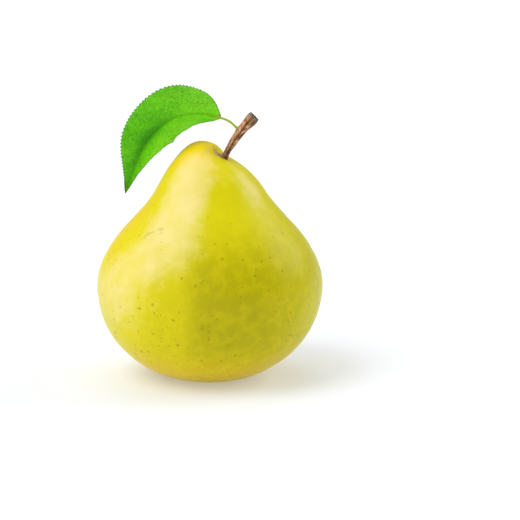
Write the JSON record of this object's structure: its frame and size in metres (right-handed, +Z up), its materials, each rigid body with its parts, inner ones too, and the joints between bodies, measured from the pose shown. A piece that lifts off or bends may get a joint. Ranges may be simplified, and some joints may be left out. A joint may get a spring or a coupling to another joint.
{
  "type": "pear",
  "caption": "Ripe yellow pear with a leaning crown, a ridged woody stem and a folded, saw-toothed leaf, standing upright on the rim of its blossom end.",
  "frame": {"origin": "on the surface that the pear stands on, in the middle of the fruit's widest ring", "axes": "+Z up along the fruit's axis to the stem; -Y is the side seen in the picture; the leaf reaches out to -X and the stem leans to +X"},
  "size_m": [0.075, 0.0742, 0.0967],
  "materials": {
    "skin": "smooth, slightly waxy fruit skin with a satin sheen",
    "bark": "dry ridged stem, matt",
    "leaf": "fresh leaf, slightly glossy above and matt below",
    "dried": "dried sepals, matt and crumpled"
  },
  "bodies": {
    "root": {"fruit": "skin", "stem": "bark", "leaf": "leaf", "calyx": "dried"}
  },
  "joints": []
}
